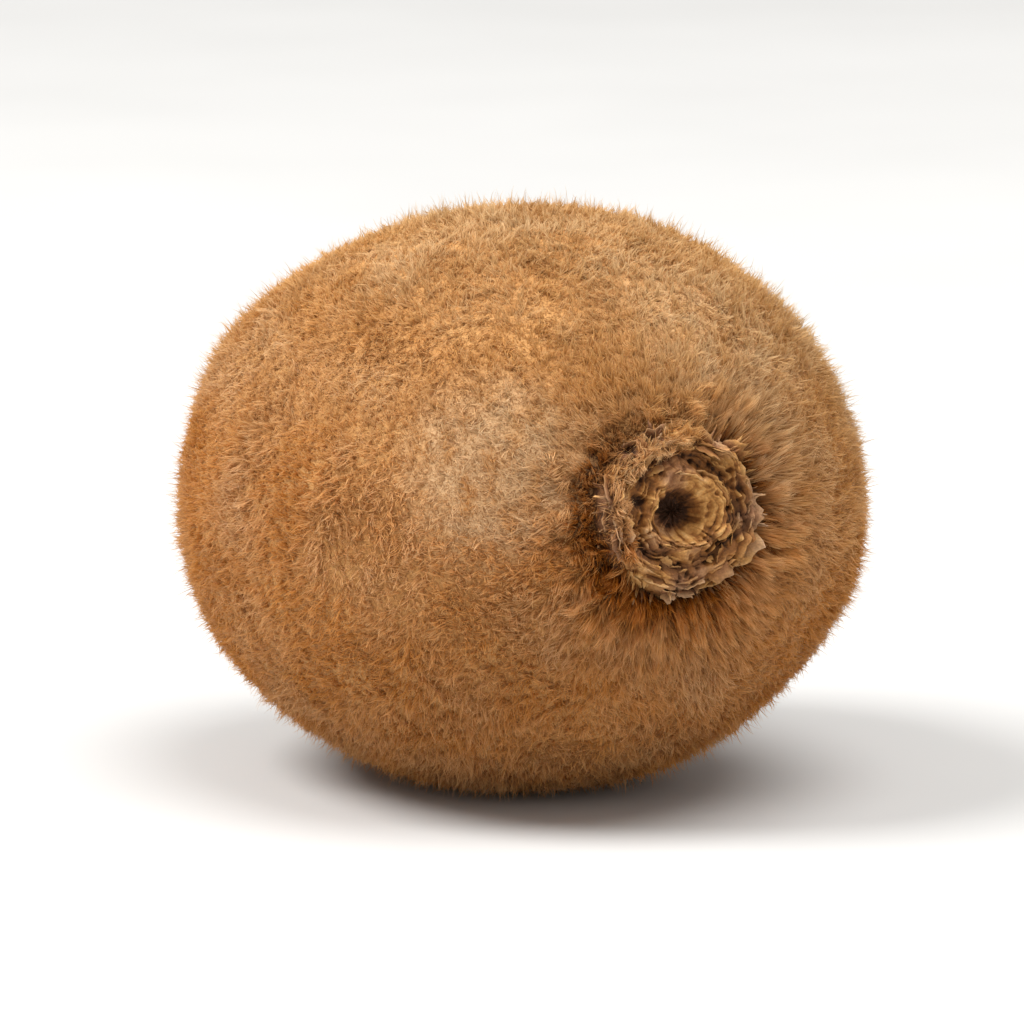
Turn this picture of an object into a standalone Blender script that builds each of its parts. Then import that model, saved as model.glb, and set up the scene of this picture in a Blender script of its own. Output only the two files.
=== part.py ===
# A kiwifruit lying on its side, in metres with +Z up and its stem end towards +X.
# The origin is the middle of the small flat spot that the fruit rests on.

import math
import random

import bmesh
import bpy
from mathutils import Matrix, Vector

MM = 0.001

# The bare fruit, without its fuzz. It lies on its broad side, so its thickness is upright.
LENGTH = 63.0 * MM
WIDTH = 55.0 * MM
THICKNESS = 48.5 * MM
BLUNTNESS = 2.15  # exponent of the lengthwise outline, where 2 is an ellipse
STEM_END_FULLNESS = 0.045  # how much fuller the stem half is than the blossom half
RESTING_TILT = math.radians(7.0)  # the fuller stem end lies this much raised
REST_SPOT_DEPTH = 0.6 * MM  # how far the fruit's own weight flattens its underside

# Low swells that keep the fruit from being a turned shape. Each has its height as a share
# of the radius, how many go round the fruit, how many half waves go along it, and its phase.
SWELLS = (
    (0.010, 3, 0.5, 0.7),
    (0.007, 2, 1.0, 2.3),
    (0.005, 5, 0.0, 1.1),
)

# The woody button at the stem end, from its middle outwards
PIT_DEPTH = 2.1 * MM
PIT_FLOOR_RADIUS = 0.95 * MM
PIT_RIM_RADIUS = 2.3 * MM
STALK_RING_RADIUS = 3.1 * MM
STALK_RING_HEIGHT = 0.9 * MM
STALK_RING_HALF_WIDTH = 1.0 * MM
BUTTON_HEIGHT = 1.1 * MM
COLLAR_RADIUS = 5.5 * MM
COLLAR_HEIGHT = 1.0 * MM
COLLAR_HALF_WIDTH = 1.1 * MM
COLLAR_SLOPE = 1.5 * MM
COLLAR_OVALNESS = 0.03
SEPAL_STUBS = (1.0, 0.62, 0.88, 0.5, 0.8)  # how much of each dried sepal is left on the collar
SEPAL_SPREAD = 0.07  # how much a whole sepal widens the collar
NOTCH_HEIGHT = 0.35  # the collar's height between two sepals, as a share of its whole height

# Folds of the skin where it is drawn in round the button
PUCKERS = 16
PUCKER_HEIGHT = 0.28 * MM
PUCKER_RADIUS = 8.8 * MM
PUCKER_HALF_WIDTH = 3.2 * MM
PUCKER_WANDER = 2.0  # radians of a fold by which their spacing varies

# The blossom end: a shallow dimple, with a boss in it that bears the dried styles
DIMPLE_DEPTH = 0.9 * MM
DIMPLE_FLOOR_RADIUS = 2.1 * MM
DIMPLE_RIM_RADIUS = 7.0 * MM
BOSS_HEIGHT = 1.3 * MM
BOSS_TOP_RADIUS = 1.2 * MM
BOSS_FOOT_RADIUS = 3.1 * MM
STYLES = 26
STYLE_LENGTH = (1.8 * MM, 3.2 * MM)
STYLE_ROOT_RADIUS = 0.38 * MM
STYLE_TIP_RADIUS = 0.20 * MM
STYLE_SINK = 1.0 * MM  # how deep a style's root goes into the boss
TUFT_RADIUS = 1.9 * MM  # where the outermost styles stand
INNER_LEAN = math.radians(12.0)
OUTER_LEAN = math.radians(54.0)
LEAN_CHANCE = math.radians(8.0)
OUTWARD_CURL = 0.35  # sideways way of a style's tip, as a share of its length
SIDEWAYS_CURL = 0.35
STYLE_SIDES = 4
STYLE_STEPS = 3
STYLE_SEED = 11

# The mesh: points round the fruit, and the radii of its rings near each end
SEGMENTS = 80
STEM_RINGS_MM = (0.7, 1.3, 1.8, 2.2, 2.6, 3.1, 3.6, 4.0, 4.4, 4.8, 5.3, 5.8, 6.4, 7.0, 7.9, 8.9, 10.1, 11.5)
BLOSSOM_RINGS_MM = (10.5, 8.6, 6.9, 5.4, 4.2, 3.2, 2.4, 1.6, 0.8)
BODY_RINGS = 17
ROUND_END_RADIUS = 5.0 * MM  # rings are circles up to this radius
OVAL_BODY_RADIUS = 15.0 * MM  # and from here on they have the fruit's full oval section
SHARP_EDGE = math.radians(50.0)

GOLDEN_ANGLE = math.pi * (3.0 - math.sqrt(5.0))
MEAN_RADIUS = (WIDTH + THICKNESS) / 4
HALF_LENGTH = LENGTH / 2


def clear_scene():
    for old in list(bpy.data.objects):
        bpy.data.objects.remove(old, do_unlink=True)


def fall(value, start, end):
    """1 up to start, 0 from end on, and a smooth slope between them."""
    share = min(1.0, max(0.0, (value - start) / (end - start)))
    return 1.0 - share * share * (3.0 - 2.0 * share)


def ridge(value, middle, half_width):
    """A rounded ridge, 1 at its middle and 0 from half_width on."""
    share = min(1.0, abs(value - middle) / half_width)
    return math.cos(share * math.pi / 2) ** 2


def end_distance(radius):
    """How far from the fruit's middle its plain outline has this radius."""
    return HALF_LENGTH * (1.0 - (radius / MEAN_RADIUS) ** BLUNTNESS) ** (1.0 / BLUNTNESS)


def sepal_stub(angle):
    """How much of a sepal stands at this angle: one arch for each, with a notch between two."""
    place = (angle / (2 * math.pi) * len(SEPAL_STUBS)) % len(SEPAL_STUBS)
    return SEPAL_STUBS[int(place)] * math.sqrt(math.sin(math.pi * (place % 1.0)))


def button_relief(radius, angle):
    """Height of the stem end over the plain outline: pit, stalk ring, lobed collar and puckered skin."""
    stub = sepal_stub(angle)
    collar = COLLAR_RADIUS * (1.0 + SEPAL_SPREAD * stub + COLLAR_OVALNESS * math.cos(2 * angle))
    lobes = NOTCH_HEIGHT + (1.0 - NOTCH_HEIGHT) * stub
    puckers = math.cos(PUCKERS * angle + PUCKER_WANDER * math.sin(3 * angle))
    height = BUTTON_HEIGHT * fall(radius, collar, collar + COLLAR_SLOPE)
    height += COLLAR_HEIGHT * lobes * ridge(radius, collar, COLLAR_HALF_WIDTH)
    height += STALK_RING_HEIGHT * ridge(radius, STALK_RING_RADIUS, STALK_RING_HALF_WIDTH)
    height -= PIT_DEPTH * fall(radius, PIT_FLOOR_RADIUS, PIT_RIM_RADIUS)
    height += PUCKER_HEIGHT * puckers * ridge(radius, PUCKER_RADIUS, PUCKER_HALF_WIDTH)
    return height


def blossom_relief(radius):
    """Height of the blossom end over the plain outline: the dimple and the boss in it."""
    height = BOSS_HEIGHT * fall(radius, BOSS_TOP_RADIUS, BOSS_FOOT_RADIUS)
    return height - DIMPLE_DEPTH * fall(radius, DIMPLE_FLOOR_RADIUS, DIMPLE_RIM_RADIUS)


def surface_point(x, radius, angle):
    """A point of the fruit's side at this distance along it, this mean radius and this angle round it."""
    along = x / HALF_LENGTH
    oval = 1.0 - fall(radius, ROUND_END_RADIUS, OVAL_BODY_RADIUS)
    swell = sum(
        share * math.cos(waves * angle + phase + half_waves * math.pi * along)
        for share, waves, half_waves, phase in SWELLS
    )
    radius *= 1.0 + STEM_END_FULLNESS * along + oval * swell
    wide = 1.0 + oval * (WIDTH / 2 / MEAN_RADIUS - 1.0)
    high = 1.0 + oval * (THICKNESS / 2 / MEAN_RADIUS - 1.0)
    return Vector((x, radius * wide * math.cos(angle), radius * high * math.sin(angle)))


def fruit_rings():
    """Every ring of points from the stem end to the blossom end, without the two middles."""
    angles = [2 * math.pi * step / SEGMENTS for step in range(SEGMENTS)]
    stem_rings = [ring * MM for ring in STEM_RINGS_MM]
    blossom_rings = [ring * MM for ring in BLOSSOM_RINGS_MM]
    rings = [
        [surface_point(end_distance(r) + button_relief(r, a), r, a) for a in angles]
        for r in stem_rings
    ]
    first = math.asin((stem_rings[-1] / MEAN_RADIUS) ** (BLUNTNESS / 2))
    last = math.pi - math.asin((blossom_rings[0] / MEAN_RADIUS) ** (BLUNTNESS / 2))
    for step in range(1, BODY_RINGS + 1):
        turn = first + (last - first) * step / (BODY_RINGS + 1)
        radius = MEAN_RADIUS * math.sin(turn) ** (2 / BLUNTNESS)
        x = math.copysign(HALF_LENGTH * abs(math.cos(turn)) ** (2 / BLUNTNESS), math.cos(turn))
        rings.append([surface_point(x, radius, a) for a in angles])
    for r in blossom_rings:
        x = -end_distance(r) - blossom_relief(r)
        rings.append([surface_point(x, r, a) for a in angles])
    return rings


def skin_rings(shape, rings, first_middle, last_middle):
    """Joins rings of points with quads and closes both ends with fans of triangles."""
    loops = [[shape.verts.new(point) for point in ring] for ring in rings]
    start = shape.verts.new(first_middle)
    end = shape.verts.new(last_middle)
    count = len(rings[0])
    for step in range(count):
        after = (step + 1) % count
        shape.faces.new((start, loops[0][step], loops[0][after]))
        for near, far in zip(loops, loops[1:]):
            shape.faces.new((near[step], far[step], far[after], near[after]))
        shape.faces.new((end, loops[-1][after], loops[-1][step]))
    bmesh.ops.recalc_face_normals(shape, faces=shape.faces)


def press_flat(shape, down):
    """Cuts the fruit's lowest part off square to down, and returns the middle of the flat spot."""
    lowest = max(vert.co.dot(down) for vert in shape.verts)
    level = down * (lowest - REST_SPOT_DEPTH)
    everything = shape.verts[:] + shape.edges[:] + shape.faces[:]
    cut = bmesh.ops.bisect_plane(
        shape, geom=everything, plane_co=level, plane_no=down, clear_outer=True
    )["geom_cut"]
    rim = [part for part in cut if isinstance(part, bmesh.types.BMEdge)]
    spot = bmesh.ops.contextual_create(shape, geom=rim)["faces"][0]
    spot.normal_update()
    if spot.normal.dot(down) < 0:
        spot.normal_flip()
    return spot.calc_center_median_weighted()


def finished_object(name, shape, material, collection):
    mesh = bpy.data.meshes.new(name)
    shape.to_mesh(mesh)
    shape.free()
    mesh.materials.append(material)
    made = bpy.data.objects.new(name, mesh)
    collection.objects.link(made)
    return made


def fuzzy_brown_skin():
    material = bpy.data.materials.new("fuzzy_brown_skin")
    material.use_nodes = True
    shader = material.node_tree.nodes["Principled BSDF"]
    shader.inputs["Base Color"].default_value = (0.42, 0.20, 0.065, 1.0)
    shader.inputs["Roughness"].default_value = 0.85
    shader.inputs["Metallic"].default_value = 0.0
    return material


def style_shape(number, chance):
    """One dried style: a four-sided prong that leans and curls outwards from the boss."""
    share = math.sqrt((number + 0.5) / STYLES)
    angle = number * GOLDEN_ANGLE
    outwards = Vector((0.0, math.cos(angle), math.sin(angle)))
    boss_top = Vector((-HALF_LENGTH - blossom_relief(0.0), 0.0, 0.0))
    root = boss_top + outwards * share * TUFT_RADIUS
    lean = INNER_LEAN + (OUTER_LEAN - INNER_LEAN) * share + chance.uniform(-LEAN_CHANCE, LEAN_CHANCE)
    direction = Vector((-math.cos(lean), 0.0, 0.0)) + outwards * math.sin(lean)
    sideways = direction.cross(outwards).normalized() * chance.uniform(-SIDEWAYS_CURL, SIDEWAYS_CURL)
    length = chance.uniform(*STYLE_LENGTH)
    across = direction.cross(sideways).normalized()
    beside = direction.cross(across).normalized()
    turns = [2 * math.pi * side / STYLE_SIDES for side in range(STYLE_SIDES)]
    rings = []
    for step in range(STYLE_STEPS + 1):
        along = step / STYLE_STEPS
        middle = root + direction * (along * (length + STYLE_SINK) - STYLE_SINK)
        middle += (outwards * OUTWARD_CURL + sideways) * length * along**2
        radius = STYLE_ROOT_RADIUS + (STYLE_TIP_RADIUS - STYLE_ROOT_RADIUS) * along
        rings.append([middle + (across * math.cos(t) + beside * math.sin(t)) * radius for t in turns])
    shape = bmesh.new()
    skin_rings(shape, rings, sum(rings[0], Vector()) / STYLE_SIDES, sum(rings[-1], Vector()) / STYLE_SIDES)
    return shape


def grow_styles(fruit, material):
    """Joins the dried styles to the fruit's blossom end, so that the whole fruit is one solid."""
    chance = random.Random(STYLE_SEED)
    tuft = bpy.data.collections.new("styles")
    bpy.context.scene.collection.children.link(tuft)
    for number in range(STYLES):
        finished_object(f"style_{number:02d}", style_shape(number, chance), material, tuft)
    union = fruit.modifiers.new("join_styles", "BOOLEAN")
    union.operation = "UNION"
    union.operand_type = "COLLECTION"
    union.collection = tuft
    union.solver = "EXACT"
    bpy.context.view_layer.update()
    joined = fruit.evaluated_get(bpy.context.evaluated_depsgraph_get())
    fruit.data = bpy.data.meshes.new_from_object(joined)
    fruit.modifiers.clear()
    for style in list(tuft.objects):
        bpy.data.objects.remove(style, do_unlink=True)
    bpy.data.collections.remove(tuft)


def build_kiwifruit():
    skin = fuzzy_brown_skin()
    shape = bmesh.new()
    stem_middle = Vector((HALF_LENGTH + button_relief(0.0, 0.0), 0.0, 0.0))
    blossom_middle = Vector((-HALF_LENGTH - blossom_relief(0.0), 0.0, 0.0))
    skin_rings(shape, fruit_rings(), stem_middle, blossom_middle)

    laid_down = Matrix.Rotation(-RESTING_TILT, 3, "Y")
    down = laid_down.transposed() @ Vector((0.0, 0.0, -1.0))
    rest_spot = press_flat(shape, down)

    fruit = finished_object("kiwifruit", shape, skin, bpy.context.scene.collection)
    grow_styles(fruit, skin)
    fruit.data.name = "kiwifruit"
    fruit.data.shade_smooth()
    fruit.data.set_sharp_from_angle(angle=SHARP_EDGE)
    fruit.rotation_euler = laid_down.to_euler()
    fruit.location = -(laid_down @ rest_spot)


clear_scene()
build_kiwifruit()
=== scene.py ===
import math
import random

import bpy
import numpy as np
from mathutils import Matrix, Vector


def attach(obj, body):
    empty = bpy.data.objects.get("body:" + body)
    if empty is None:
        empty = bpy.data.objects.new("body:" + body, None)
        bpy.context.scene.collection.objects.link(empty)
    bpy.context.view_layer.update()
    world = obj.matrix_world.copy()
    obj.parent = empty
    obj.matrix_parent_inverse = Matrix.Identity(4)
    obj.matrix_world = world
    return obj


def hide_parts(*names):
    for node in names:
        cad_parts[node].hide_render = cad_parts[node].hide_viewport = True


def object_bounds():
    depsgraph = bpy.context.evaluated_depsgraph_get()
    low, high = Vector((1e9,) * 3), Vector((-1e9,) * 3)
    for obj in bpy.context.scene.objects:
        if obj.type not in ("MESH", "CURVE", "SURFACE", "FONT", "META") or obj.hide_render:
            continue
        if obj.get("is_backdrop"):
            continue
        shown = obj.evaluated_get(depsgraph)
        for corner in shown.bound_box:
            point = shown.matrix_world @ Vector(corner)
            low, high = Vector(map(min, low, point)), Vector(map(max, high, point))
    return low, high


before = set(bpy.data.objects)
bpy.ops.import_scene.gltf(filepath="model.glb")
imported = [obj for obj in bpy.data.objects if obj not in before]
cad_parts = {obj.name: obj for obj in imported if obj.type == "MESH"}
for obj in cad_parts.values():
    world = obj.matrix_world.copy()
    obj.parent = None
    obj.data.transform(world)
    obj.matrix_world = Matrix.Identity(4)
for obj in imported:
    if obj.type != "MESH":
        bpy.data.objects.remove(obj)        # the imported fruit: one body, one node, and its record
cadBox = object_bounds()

# A kiwifruit lying on its side: skin, woody stem button, dried sepals and styles, and its fuzz.
# Shapes are worked out in millimetres round the fruit's own axis, with the stem end towards +x,
# and laidDown puts them into the frame, in metres. Pairs such as a "pit" of (0.95, 2.3) are the radii
# from that axis between which something fades, and a noise is the millimetres from swell to swell and a seed.

mm = 0.001
smallTurn = 1e-3      # radians, for the skin's slopes
goldenAngle = math.pi * (3 - math.sqrt(5))     # between neighbours that are spread evenly over a round

# The bare fruit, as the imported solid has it
fruit = {
    "length": 63.0,
    "width": 55.0,
    "thickness": 48.5,
    "bluntness": 2.15,             # 2 would be an ellipse
    "stemEndFullness": 0.045,
    "restingTilt": math.radians(7.0),
    "restSpotDepth": 0.6,
    "pressedLayer": 0.3,           # what would be under the table lies in a layer this thick on it
    "softness": 1.2,
    # share of the radius, waves round the fruit, half waves along it and phase
    "swells": ((0.010, 3, 0.5, 0.7), (0.007, 2, 1.0, 2.3), (0.005, 5, 0.0, 1.1)),
    "roundEnd": 5.0,               # rings are circles up to this radius
    "ovalBody": 15.0,              # and have the full oval section from here on
    "puckers": 16,
    "puckerShift": (2.0, 3),       # how uneven their places are, and how many times round the end
    "puckerHeight": 0.28,
    "puckerRing": (8.8, 3.2),      # middle radius and half width
    "buttonFoot": (5.2, 6.8),      # where the skin comes up from under the button
    "dimpleDepth": 0.9,
    "dimple": (2.1, 7.0),
    "bossHeight": 1.3,
    "boss": (1.2, 3.1),
}
meanRadius = (fruit["width"] + fruit["thickness"]) / 4
halfLength = fruit["length"] / 2


def say(stage):
    print("kiwifruit:", stage, flush=True)


def fall(value, start, end):
    # 1 up to start, 0 from end on, smooth between
    share = np.clip((value - start) / (end - start), 0.0, 1.0)
    return 1.0 - share * share * (3.0 - 2.0 * share)


def rise(value, start, end):
    return 1.0 - fall(value, start, end)


def ridge(value, middle, halfWidth):
    # 1 in the middle, 0 from the half width on, smooth between
    share = np.minimum(1.0, np.abs(value - middle) / halfWidth)
    return np.cos(share * math.pi / 2) ** 2


def blend(atNone, atAll, share):
    return atNone + (atAll - atNone) * share


def waves(points, size, seed, many=14):
    # smooth seeded noise, mostly within -1 to 1, with swells about size millimetres apart
    chance = np.random.default_rng(seed)
    ways = chance.normal(size=(many, 3))
    ways *= (2 * math.pi / size * chance.uniform(0.6, 1.5, many) / np.linalg.norm(ways, axis=1))[:, None]
    total = np.sin(points @ ways.T + chance.uniform(0, 2 * math.pi, many)).sum(axis=1)
    return np.clip(total * math.sqrt(2.0 / many) * 0.6, -1.3, 1.3)


def unit(vectors):
    return vectors / np.maximum(np.linalg.norm(vectors, axis=-1, keepdims=True), 1e-9)


def everyPair(first, second):
    # two flat arrays, in which each value of the first stands beside each of the second
    return [values.ravel() for values in np.meshgrid(first, second, indexing="ij")]


def evenAngles(count):
    return np.arange(count) * 2 * math.pi / count


def roundTheAxis(places):
    # the radius and the angle of each place round the fruit's axis
    return np.hypot(places[:, 1], places[:, 2]), np.arctan2(places[:, 2], places[:, 1])


def endDistance(radius):
    # how far the plain end is from the fruit's middle at this radius
    share = np.clip(radius / meanRadius, 0.0, 1.0)
    return halfLength * (1.0 - share ** fruit["bluntness"]) ** (1 / fruit["bluntness"])


def sidePoint(x, radius, angle):
    # the fruit's side at this place along it, at this mean radius and this angle round it
    along = x / halfLength
    oval = rise(radius, fruit["roundEnd"], fruit["ovalBody"])
    swell = sum(
        share * np.cos(count * angle + phase + halfWaves * math.pi * along)
        for share, count, halfWaves, phase in fruit["swells"]
    )
    radius = radius * (1.0 + fruit["stemEndFullness"] * along + oval * swell)
    wide = 1.0 + oval * (fruit["width"] / 2 / meanRadius - 1.0)
    high = 1.0 + oval * (fruit["thickness"] / 2 / meanRadius - 1.0)
    return np.stack([x, radius * wide * np.cos(angle), radius * high * np.sin(angle)], axis=-1)


def turnRadius(turn):
    # turn runs from 0 at the stem end to pi at the blossom end
    return meanRadius * np.sin(turn) ** (2 / fruit["bluntness"])


def skinPoint(turn, angle, underButton=0.0):
    # underButton is how far the skin is sunk where the button covers it
    radius = turnRadius(turn)
    x = halfLength * np.sign(np.cos(turn)) * np.abs(np.cos(turn)) ** (2 / fruit["bluntness"])
    shift, times = fruit["puckerShift"]
    pucker = np.cos(fruit["puckers"] * angle + shift * np.sin(times * angle))
    stemRelief = fruit["puckerHeight"] * pucker * ridge(radius, *fruit["puckerRing"])
    stemRelief = stemRelief - underButton * fall(radius, *fruit["buttonFoot"])
    blossomRelief = fruit["bossHeight"] * fall(radius, *fruit["boss"])
    blossomRelief = blossomRelief - fruit["dimpleDepth"] * fall(radius, *fruit["dimple"])
    return sidePoint(x + np.where(x > 0, stemRelief, -blossomRelief), radius, angle)


def skinNormal(turn, angle):
    # which way the skin faces, and its way along the fruit towards the blossom end
    turn = np.clip(turn, 2 * smallTurn, math.pi - 2 * smallTurn)
    alongSkin = skinPoint(turn + smallTurn, angle) - skinPoint(turn - smallTurn, angle)
    roundSkin = skinPoint(turn, angle + smallTurn) - skinPoint(turn, angle - smallTurn)
    normal = unit(np.cross(alongSkin, roundSkin))
    outward = skinPoint(turn, angle)
    return normal * np.sign((normal * outward).sum(axis=-1, keepdims=True)), unit(alongSkin)


def tilted(points):
    c, s = math.cos(fruit["restingTilt"]), math.sin(fruit["restingTilt"])
    x, y, z = points[..., 0], points[..., 1], points[..., 2]
    return np.stack([x * c - z * s, y, x * s + z * c], axis=-1)


def restPlace():
    # the middle of what the table presses flat, in the tilted fruit, looked for over its underside
    turn, angle = everyPair(np.linspace(0.8, 2.3, 300), np.linspace(math.pi, 2 * math.pi, 300))
    low = tilted(skinPoint(turn, angle))
    level = low[:, 2].min() + fruit["restSpotDepth"]
    pressed = low[low[:, 2] < level]
    middle = (pressed.min(axis=0) + pressed.max(axis=0)) / 2
    return np.array([middle[0], middle[1], level])


restSpot = restPlace()


def laidDown(points):
    # into the frame, in metres, with what would be under the table pressed into a thin layer on it
    placed = tilted(points) - restSpot
    height, layer = placed[..., 2], fruit["pressedLayer"]
    pressed = layer * np.exp((np.minimum(height, layer) - layer) / fruit["softness"])
    placed[..., 2] = np.where(height < layer, pressed, height)
    return placed * mm


def makePiece(name, points, quads, triangles, material, readings=None):
    # quads and triangles are arrays of point numbers, readings are a value for each point
    mesh = bpy.data.meshes.new(name)
    quads = np.asarray(quads, np.int32).reshape(-1, 4)
    triangles = np.asarray(triangles, np.int32).reshape(-1, 3)
    mesh.vertices.add(len(points))
    mesh.vertices.foreach_set("co", np.asarray(points, np.float32).ravel())
    mesh.loops.add(quads.size + triangles.size)
    mesh.loops.foreach_set("vertex_index", np.concatenate([quads.ravel(), triangles.ravel()]))
    starts = np.concatenate([np.arange(len(quads)) * 4, quads.size + np.arange(len(triangles)) * 3])
    mesh.polygons.add(len(starts))
    mesh.polygons.foreach_set("loop_start", starts.astype(np.int32))
    mesh.update(calc_edges=True)
    mesh.shade_smooth()
    for reading, values in (readings or {}).items():
        layer = mesh.attributes.new(reading, "FLOAT", "POINT")
        layer.data.foreach_set("value", np.asarray(values, np.float32).ravel())
    mesh.materials.append(material)
    piece = bpy.data.objects.new(name, mesh)
    bpy.context.scene.collection.objects.link(piece)
    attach(piece, "root")
    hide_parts("kiwifruit")
    say(f"{name}, {2 * len(quads) + len(triangles)} triangles")


def gridFaces(rows, columns, first=0):
    # quads of a tube of rows rings with columns points each, numbered from first on
    row, column = np.meshgrid(np.arange(rows - 1), np.arange(columns), indexing="ij")
    after = (column + 1) % columns
    here, below = row * columns, (row + 1) * columns
    quads = [here + column, below + column, below + after, here + after]
    return np.stack(quads, axis=-1).reshape(-1, 4) + first


def fanFaces(ring, middle, columns, flip=False):
    # triangles that close a tube, from the ring's first point and the number of the point in its middle
    column = np.arange(columns)
    after = (column + 1) % columns
    sides = (ring + after, ring + column) if flip else (ring + column, ring + after)
    return np.stack([np.full(columns, middle), *sides], axis=-1)


# Materials

def linear(hexColour):
    # an sRGB hex colour as linear values
    parts = [int(hexColour[i : i + 2], 16) / 255 for i in (1, 3, 5)]
    return (*[p / 12.92 if p <= 0.04045 else ((p + 0.055) / 1.055) ** 2.4 for p in parts], 1.0)


def addNode(tree, kind, settings=None, links=None):
    # settings are inputs by name or number, properties, or a ramp's stops, and links are sockets to read from
    node = tree.nodes.new(kind)
    for key, value in (settings or {}).items():
        if key == "stops":
            stops = node.color_ramp.elements
            while len(stops) < len(value):
                stops.new(0.5)
            for stop, (place, colour) in zip(stops, value):
                stop.position, stop.color = place, linear(colour)
        elif isinstance(key, int) or key in node.inputs:
            node.inputs[key].default_value = value
        else:
            setattr(node, key, value)
    for key, socket in (links or {}).items():
        tree.links.new(socket, node.inputs[key])
    return node


def newMaterial(name):
    material = bpy.data.materials.new(name)
    material.use_nodes = True
    tree = material.node_tree
    tree.nodes.clear()
    return material, tree


def driedFuzz():
    # kiwifruit hair: dead, dry, golden brown plant hair, silky and half see-through at its tips; its colour
    # runs darker towards its roots, partly its own and partly painted shade between the hairs, and its tips
    # catch the light
    material, tree = newMaterial("driedFruitFuzz")
    place = addNode(tree, "ShaderNodeTexCoord").outputs["Object"]
    reading = {
        name: addNode(tree, "ShaderNodeAttribute", {"attribute_name": name}).outputs["Fac"]
        for name in ("alongHair", "ownTone", "rubbed", "stemShade")
    }
    # each from root to tip: most of it, bleached patches and rubbed places with a painted sheen, and painted
    # shade round the stem end in brown, which also gives the blossom end's own dark ring
    golden, tan, brown = [
        addNode(tree, "ShaderNodeValToRGB", {"stops": list(zip((0.0, 0.3, 0.65, 1.0), rootToTip))},
                {"Fac": reading["alongHair"]}).outputs["Color"]
        for rootToTip in (
            ("#A8773B", "#BC8748", "#CC9856", "#E2B67C"),
            ("#A88759", "#C4A174", "#D8B88B", "#ECD2AA"),
            ("#361A0A", "#6E3F17", "#A0652B", "#CC9150"),
        )
    ]
    patches = addNode(tree, "ShaderNodeTexNoise", {"Scale": 1 / (9 * mm), "Detail": 3.0, "Roughness": 0.55},
                      {"Vector": place})  # patches about 9 mm across
    patchShare = addNode(tree, "ShaderNodeMapRange", {"From Min": 0.42, "From Max": 0.66, "To Max": 0.5},
                         {"Value": patches.outputs["Fac"]})
    tanShare = addNode(tree, "ShaderNodeMath", {"operation": "MAXIMUM"},
                       {0: patchShare.outputs["Result"], 1: reading["rubbed"]})
    paler = addNode(tree, "ShaderNodeMix", {"data_type": "RGBA"}, {0: tanShare.outputs[0], 6: golden, 7: tan})
    darker = addNode(tree, "ShaderNodeMix", {"data_type": "RGBA"},
                     {0: reading["stemShade"], 6: paler.outputs[2], 7: brown})
    strength = addNode(tree, "ShaderNodeMapRange", {"To Min": 0.89, "To Max": 1.11},
                       {"Value": reading["ownTone"]})
    # painted light: the upper cheek is tinted towards pale straw yellow and the lower one towards a deeper
    # orange brown, as bounced orange light would tint it
    paintedBounceTint = addNode(tree, "ShaderNodeVectorMath", {"operation": "DOT_PRODUCT", 1: (0.0, 0.3, 1.0)},
                         {0: place})
    hue, saturation = [
        addNode(tree, "ShaderNodeMapRange",
                {"From Min": 20 * mm, "From Max": 46 * mm, "To Min": low, "To Max": high},
                {"Value": paintedBounceTint.outputs["Value"]}).outputs["Result"]
        for low, high in ((0.4925, 0.5055), (1.06, 0.94))
    ]
    colour = addNode(tree, "ShaderNodeHueSaturation", None,
                     {"Color": darker.outputs[2], "Value": strength.outputs["Result"],
                      "Hue": hue, "Saturation": saturation})
    shader = addNode(tree, "ShaderNodeBsdfPrincipled",
                     {"Roughness": 0.5, "IOR": 1.5, "Specular IOR Level": 0.3},
                     {"Base Color": colour.outputs["Color"]})
    glow = addNode(tree, "ShaderNodeBsdfTranslucent", None, {"Color": colour.outputs["Color"]})
    both = addNode(tree, "ShaderNodeMixShader", {0: 0.42}, {1: shader.outputs[0], 2: glow.outputs[0]})
    addNode(tree, "ShaderNodeOutputMaterial", None, {"Surface": both.outputs[0]})
    return material


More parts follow.
